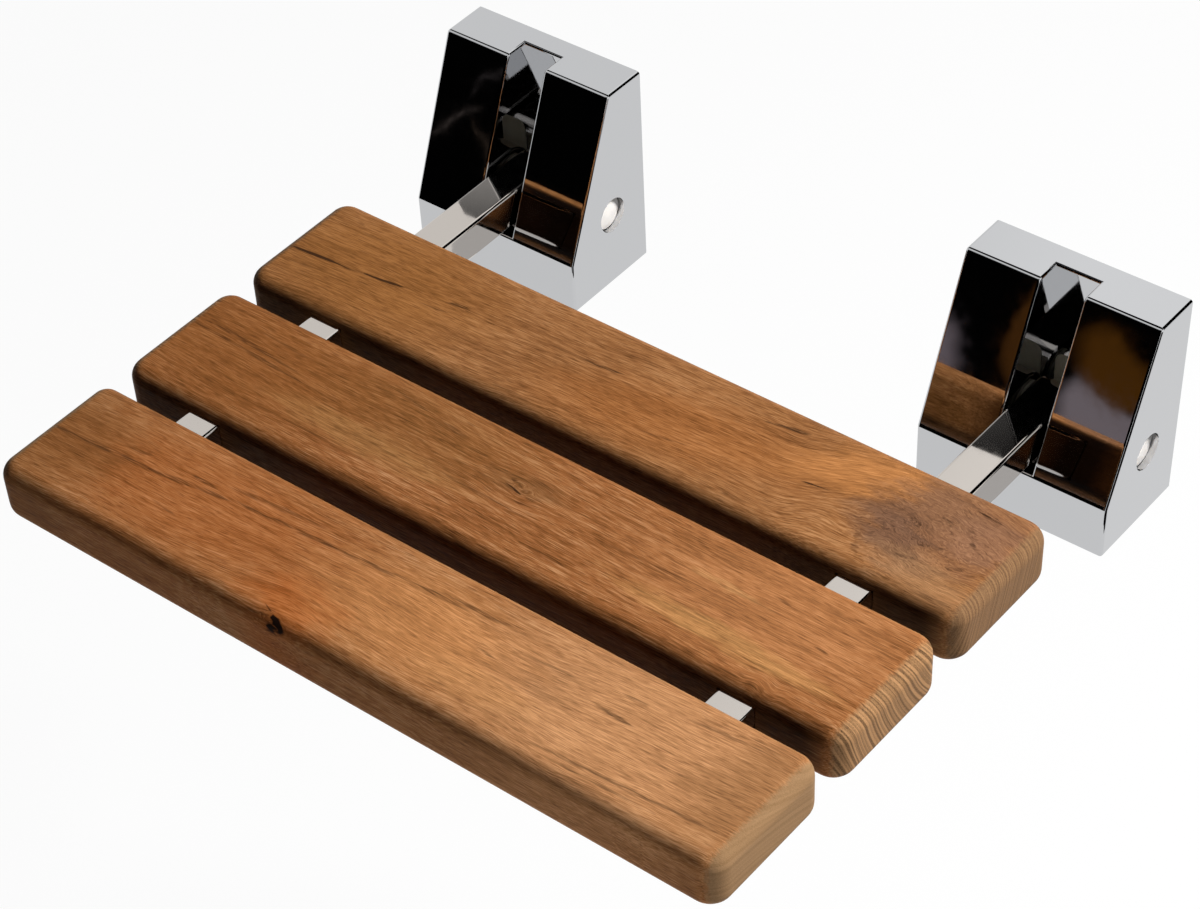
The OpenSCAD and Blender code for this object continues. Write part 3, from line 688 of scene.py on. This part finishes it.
def makeCaps(name):
    discs = []
    for side in (-1, 1):
        outer = bracketSize["width"] / 2 - capSize["recess"]
        ends = sorted((side * (outer - capSize["thick"]), side * outer))
        disc = addRod(name, capSize["radius"], *ends, *bracketSize["pivot"], 96)
        selectWhere(disc, "polygons", lambda f: side * f.normal.x > 0.9)
        bpy.ops.mesh.bevel(offset=capSize["edge"] * mm, segments=4, affect="EDGES")
        leaveEdit()
        selectWhere(disc, "polygons", lambda f: side * f.normal.x > 0.98 and len(f.vertices) > 8)
        for inward, share in domeSteps:
            bpy.ops.mesh.inset(thickness=inward * mm)
            bpy.ops.transform.translate(value=(side * capSize["dome"] * share * mm, 0, 0))
        leaveEdit()
        discs.append(disc)
    makeActive(discs[0])
    discs[1].select_set(True)
    bpy.ops.object.join()
    shadeSmooth(discs[0], 50)
    return discs[0]


# moulded plastic: even colour with a faint flow cloud and a fine satin skin
def makePlastic(name, setup):
    material, tree = newMaterial(name)
    place = addNode(tree, "ShaderNodeTexCoord")
    cloud = addNode(tree, "ShaderNodeTexNoise", {"Vector": place.outputs["Object"], "Scale": 1000 / setup["cloud"],
                                                 "Detail": 2.0})
    share = addNode(tree, "ShaderNodeMapRange", {"Value": cloud, "From Min": 0.3, "From Max": 0.7})
    darker, paler = (linearColour(c) for c in setup["colours"])
    colour = addNode(tree, "ShaderNodeMix", {0: share, 6: darker, 7: paler}, data_type="RGBA")
    skin = addNode(tree, "ShaderNodeTexNoise", {"Vector": place.outputs["Object"], "Scale": 1000 / setup["skin"],
                                                "Detail": 2.0})
    low, high = setup["rough"]
    gloss = addNode(tree, "ShaderNodeMapRange", {"Value": skin, "From Min": 0.3, "From Max": 0.7, "To Min": low,
                                                 "To Max": high})
    bump = addNode(tree, "ShaderNodeBump", {"Height": skin, "Strength": 0.3, "Distance": 0.02 * mm})
    glow = {"Subsurface Weight": setup["glow"], "Subsurface Radius": (1.0, 0.9, 0.75), "Subsurface Scale": 0.6 * mm}
    shader = addNode(tree, "ShaderNodeBsdfPrincipled", {"Base Color": colour, "Roughness": gloss, "IOR": setup["ior"],
                                                        "Normal": bump, **glow})
    addNode(tree, "ShaderNodeOutputMaterial", {"Surface": shader})
    return material


# plated or brushed metal: fine lines left by rolling or turning, with dull patches
def makeDullMetal(name, setup):
    material, tree = newMaterial(name)
    place = addNode(tree, "ShaderNodeTexCoord")
    lines = addNode(tree, "ShaderNodeMapping", {"Vector": place.outputs["Object"],
                                                "Scale": [1000 / v for v in setup["lines"]]})
    lines = addNode(tree, "ShaderNodeTexNoise", {"Vector": lines, "Scale": 1.0, "Detail": 2.0})
    patch = addNode(tree, "ShaderNodeTexVoronoi", {"Vector": place.outputs["Object"], "Scale": 1000 / setup["patch"]})
    tone = addNode(tree, "ShaderNodeMath", {0: patch.outputs["Color"], 1: setup["patchShare"], 2: lines},
                   operation="MULTIPLY_ADD")
    tone = addNode(tree, "ShaderNodeMapRange", {"Value": tone, "From Min": 0.3, "From Max": 0.75 + setup["patchShare"]})
    darker, paler = (linearColour(c) for c in setup["colours"])
    colour = addNode(tree, "ShaderNodeMix", {0: tone, 6: darker, 7: paler}, data_type="RGBA")
    gloss = addNode(tree, "ShaderNodeMapRange", {"Value": tone, "To Min": setup["rough"][1],
                                                 "To Max": setup["rough"][0]})
    bump = addNode(tree, "ShaderNodeBump", {"Height": lines, "Strength": 0.35, "Distance": 0.02 * mm})
    shader = addNode(tree, "ShaderNodeBsdfPrincipled", {"Base Color": colour, "Metallic": 1.0, "Roughness": gloss,
                                                        "Normal": bump})
    addNode(tree, "ShaderNodeOutputMaterial", {"Surface": shader})
    return material


capPlastic = makePlastic("white moulded acetal", {
    "colours": ("#E4DFDA", "#EBE7E3"), "cloud": 12, "skin": 0.5, "rough": (0.28, 0.36), "ior": 1.48, "glow": 0.1})
nylon = makePlastic("natural moulded nylon", {
    "colours": ("#DDD5BC", "#E8E1CC"), "cloud": 8, "skin": 0.4, "rough": (0.38, 0.5), "ior": 1.53, "glow": 0.15})
zincSheet = makeDullMetal("zinc plated steel sheet", {
    "lines": (60, 60, 0.5), "patch": 3.5, "patchShare": 0.25, "colours": ("#9FA3A6", "#C3C6C8"), "rough": (0.3, 0.48)})
stainless = makeDullMetal("turned stainless steel", {
    "lines": (0.4, 6, 6), "patch": 1.5, "patchShare": 0.08, "colours": ("#A3A29F", "#C2C1BE"), "rough": (0.22, 0.36)})

for side, name, node in ((-1, "capsLeft", "pin_caps_left"), (1, "capsRight", "pin_caps_right")):
    caps = makeCaps(name)
    caps.location.x = side * bracketSize["pitch"] / 2 * mm
    applyPlace(caps)
    dress(caps, capPlastic, "wall_brackets", [node])
print("caps made")

# the rest keeps its shape and gets its finish
finishes = {
    "wall_plate_left": zincSheet, "wall_plate_right": zincSheet, "slat_screws": stainless, "pivot_pin_left": stainless,
    "pivot_pin_right": stainless, "bracket_screws_left": stainless, "bracket_screws_right": stainless,
    "pivot_bushes_left": nylon, "pivot_bushes_right": nylon, "stop_pad_left": nylon, "stop_pad_right": nylon,
}
for node, finish in finishes.items():
    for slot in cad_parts[node].material_slots:
        slot.material = finish
print("small parts finished")


def addSeen(tree, rays):  # 1 for what the camera, the chrome and glass see
    seen = addNode(tree, "ShaderNodeMath", {0: rays.outputs["Is Camera Ray"], 1: rays.outputs["Is Glossy Ray"]},
                   operation="MAXIMUM")
    return addNode(tree, "ShaderNodeMath", {0: seen, 1: rays.outputs["Is Transmission Ray"]}, operation="MAXIMUM")


# white surroundings, a little dimmer at the left in the chrome, with dim plain light on the object
worldSetup = {"light": 0.025, "seen": 1.0, "left": 0.86, "leftEnds": (-0.46, -0.38)}
world = bpy.data.worlds.new("studio")
bpy.context.scene.world = world
world.use_nodes = True
tree = world.node_tree
tree.nodes.clear()
rays = addNode(tree, "ShaderNodeLightPath")
strength = addNode(tree, "ShaderNodeMapRange", {"Value": addSeen(tree, rays), "To Min": worldSetup["light"],
                                                "To Max": worldSetup["seen"]})
way = addNode(tree, "ShaderNodeTexCoord")
way = addNode(tree, "ShaderNodeSeparateXYZ", {0: way.outputs["Generated"]})
leftDim = addNode(tree, "ShaderNodeMapRange", {"Value": way.outputs["X"], "From Min": worldSetup["leftEnds"][0],
                                              "From Max": worldSetup["leftEnds"][1], "To Min": worldSetup["left"]})
leftDim = addNode(tree, "ShaderNodeMix", {0: rays.outputs["Is Glossy Ray"], 2: 1.0, 3: leftDim})
strength = addNode(tree, "ShaderNodeMath", {0: strength, 1: leftDim}, operation="MULTIPLY")
sky = addNode(tree, "ShaderNodeBackground", {"Color": (1, 1, 1, 1), "Strength": strength})
addNode(tree, "ShaderNodeOutputWorld", {"Surface": sky})

# a pale floor, which glows except for a share that takes the shadow
floorSetup = {"height": -450, "size": 9000, "shadow": 0.07, "mirrored": 0.1, "paint": 0.85, "unseenPaint": 0.2}
deselectAll()
bpy.ops.mesh.primitive_plane_add(size=floorSetup["size"] * mm, location=(0, 0, floorSetup["height"] * mm))
floor = bpy.context.object
floor.name = "floor"
floorPaint, tree = newMaterial("pale floor")
rays = addNode(tree, "ShaderNodeLightPath")
share = addNode(tree, "ShaderNodeMath", {0: addSeen(tree, rays), 1: 1 - floorSetup["shadow"]}, operation="MULTIPLY")
share = addNode(tree, "ShaderNodeMath", {0: rays.outputs["Is Glossy Ray"], 1: -floorSetup["mirrored"], 2: share},
                operation="MULTIPLY_ADD")
unseen = addNode(tree, "ShaderNodeMath", {0: rays.outputs["Is Diffuse Ray"], 1: rays.outputs["Is Glossy Ray"]},
                 operation="MAXIMUM")
paint, dimPaint = ((grey, grey, grey, 1) for grey in (floorSetup["paint"], floorSetup["unseenPaint"]))
paint = addNode(tree, "ShaderNodeMix", {0: unseen, 6: paint, 7: dimPaint}, data_type="RGBA")
matt = addNode(tree, "ShaderNodeBsdfDiffuse", {"Color": paint})
glow = addNode(tree, "ShaderNodeEmission", {"Color": (1, 1, 1, 1), "Strength": 1.0})
mixed = addNode(tree, "ShaderNodeMixShader", {0: share, 1: matt, 2: glow})
addNode(tree, "ShaderNodeOutputMaterial", {"Surface": mixed})
floor.data.materials.append(floorPaint)

# what only the chrome mirrors: a black cloth in front with a few dim patches painted on it, glowing as painted
# reflections, black felt behind on the right and on the floor there, and a black ceiling
clothSetup = {
    "low": -440, "high": 3400, "half": 3200, "away": -2200,
    "things": [  # middle x and z, half width, half height, turn in degrees, colour
        (-640, 12, 95, 46, 12, "#786E72"), (-655, 80, 88, 42, 10, "#4A2C0B"), (-892, 10, 62, 54, 30, "#6A6065"),
        (-768, 92, 26, 78, 0, "#43280F"), (-1640, 44, 60, 5, -38, "#3B3532"), (-1560, 20, 60, 4, 30, "#453A32"),
        (-1600, 112, 46, 4, -50, "#2E2A2A"),
    ],
}
cloth = addBox("blackCloth", (-clothSetup["half"], clothSetup["away"] - 10, clothSetup["low"]),
               (clothSetup["half"], clothSetup["away"], clothSetup["high"]))
clothBlack, tree = newMaterial("black cloth")
place = addNode(tree, "ShaderNodeTexCoord")
inMm = addNode(tree, "ShaderNodeMapping", {"Vector": place.outputs["Object"], "Scale": (1000, 1000, 1000)})
wave = addNode(tree, "ShaderNodeTexNoise", {"Vector": place.outputs["Object"], "Scale": 16.0, "Detail": 2.0})
wave = addNode(tree, "ShaderNodeVectorMath", {0: wave.outputs["Color"], 1: (0.5, 0.5, 0.5)}, operation="SUBTRACT")
wavy = addNode(tree, "ShaderNodeVectorMath", {0: wave, 1: (60, 0, 60), 2: inMm}, operation="MULTIPLY_ADD")
colour = linearColour("#020202")
for x, z, halfWidth, halfHeight, turn, tint in clothSetup["things"]:
    mask = addOvalMask(tree, wavy, (x, clothSetup["away"], z), (halfWidth, 100, halfHeight), (0, radians(turn), 0),
                       {"From Max": 0.35})
    colour = addNode(tree, "ShaderNodeMix", {0: mask, 6: colour, 7: linearColour(tint)}, data_type="RGBA")
dim = addNode(tree, "ShaderNodeEmission", {"Color": colour, "Strength": 1.0})
addNode(tree, "ShaderNodeOutputMaterial", {"Surface": dim})
cloth.data.materials.append(clothBlack)

feltSetup = {"flag": ((350, 1700, -100), (3200, 1710, 2600)), "mat": ((800, -1500, -445), (3200, 300, -440))}
flag = addBox("blackFlag", *feltSetup["flag"])
mat = addBox("blackMat", *feltSetup["mat"])
flagBlack, tree = newMaterial("black felt")
matt = addNode(tree, "ShaderNodeBsdfDiffuse", {"Color": (0.004, 0.004, 0.004, 1)})
addNode(tree, "ShaderNodeOutputMaterial", {"Surface": matt})
flag.data.materials.append(flagBlack)
mat.data.materials.append(flagBlack)

# a black ceiling, greyer to the left, with a long pale panel a little in front of the seat; the grey and the panel glow
# for mirror rays only, as painted reflections
ceilingSetup = {
    "low": (-3200, -2200, 2400), "high": (3200, 1300, 2410), "grey": 0.42, "greyFrom": -700, "greyTo": -1700,
    "panel": (-1700, -450), "panelLight": 0.8, "soft": 100, "greySoft": 60,
}
ceiling = addBox("blackCeiling", ceilingSetup["low"], ceilingSetup["high"])
ceilingPaint, tree = newMaterial("black ceiling")
place = addNode(tree, "ShaderNodeTexCoord")
inMm = addNode(tree, "ShaderNodeMapping", {"Vector": place.outputs["Object"], "Scale": (1000, 1000, 1000)})
apart = addNode(tree, "ShaderNodeSeparateXYZ", {0: inMm})
leftward = addNode(tree, "ShaderNodeMapRange", {"Value": apart.outputs["X"], "From Min": ceilingSetup["greyFrom"],
                                               "From Max": ceilingSetup["greyTo"], "To Max": ceilingSetup["grey"]})
forward = addNode(tree, "ShaderNodeMapRange", {"Value": apart.outputs["Y"], "From Min": ceilingSetup["greySoft"],
                                               "From Max": -ceilingSetup["greySoft"]})
grey = addNode(tree, "ShaderNodeMath", {0: leftward, 1: forward}, operation="MULTIPLY")
(front, rear), soft = ceilingSetup["panel"], ceilingSetup["soft"]
rear = addNode(tree, "ShaderNodeMapRange", {"Value": apart.outputs["Y"], "From Min": rear + soft,
                                            "From Max": rear - soft})
front = addNode(tree, "ShaderNodeMapRange", {"Value": apart.outputs["Y"], "From Min": front - soft,
                                             "From Max": front + soft})
panel = addNode(tree, "ShaderNodeMath", {0: rear, 1: front}, operation="MULTIPLY")
panel = addNode(tree, "ShaderNodeMath", {0: panel, 1: ceilingSetup["panelLight"]}, operation="MULTIPLY")
level = addNode(tree, "ShaderNodeMath", {0: grey, 1: panel}, operation="MAXIMUM")
dim = addNode(tree, "ShaderNodeEmission", {"Color": (1, 1, 1, 1), "Strength": level})
addNode(tree, "ShaderNodeOutputMaterial", {"Surface": dim})
ceiling.data.materials.append(ceilingPaint)

for thing in (cloth, flag, mat, ceiling):
    for kind in ("visible_camera", "visible_diffuse", "visible_shadow", "visible_transmission"):
        setattr(thing, kind, False)


# soft square lamps, in metres and watts: the key from behind on the right, a weak one from below in front
lampSetup = {
    "keyLamp": {"place": (1.05, 0.65, 1.25), "aim": (0, -0.15, 0), "size": 0.5, "power": 56},
    "frontLamp": {"place": (0.6, -1.0, -0.35), "aim": (0, -0.3, 0), "size": 0.6, "power": 4.6},
}
for name, setup in lampSetup.items():
    deselectAll()
    bpy.ops.object.light_add(type="AREA", location=setup["place"])
    lamp = bpy.context.object
    lamp.name = name
    lamp.data.size = setup["size"]
    lamp.data.energy = setup["power"]
    lamp.visible_glossy = False  # the chrome mirrors the room, not the lamps
    lamp.rotation_euler = (Vector(setup["aim"]) - Vector(setup["place"])).to_track_quat("-Z", "Y").to_euler()
print("stage and lamps set")

bpy.context.scene.view_settings.view_transform = "Standard"
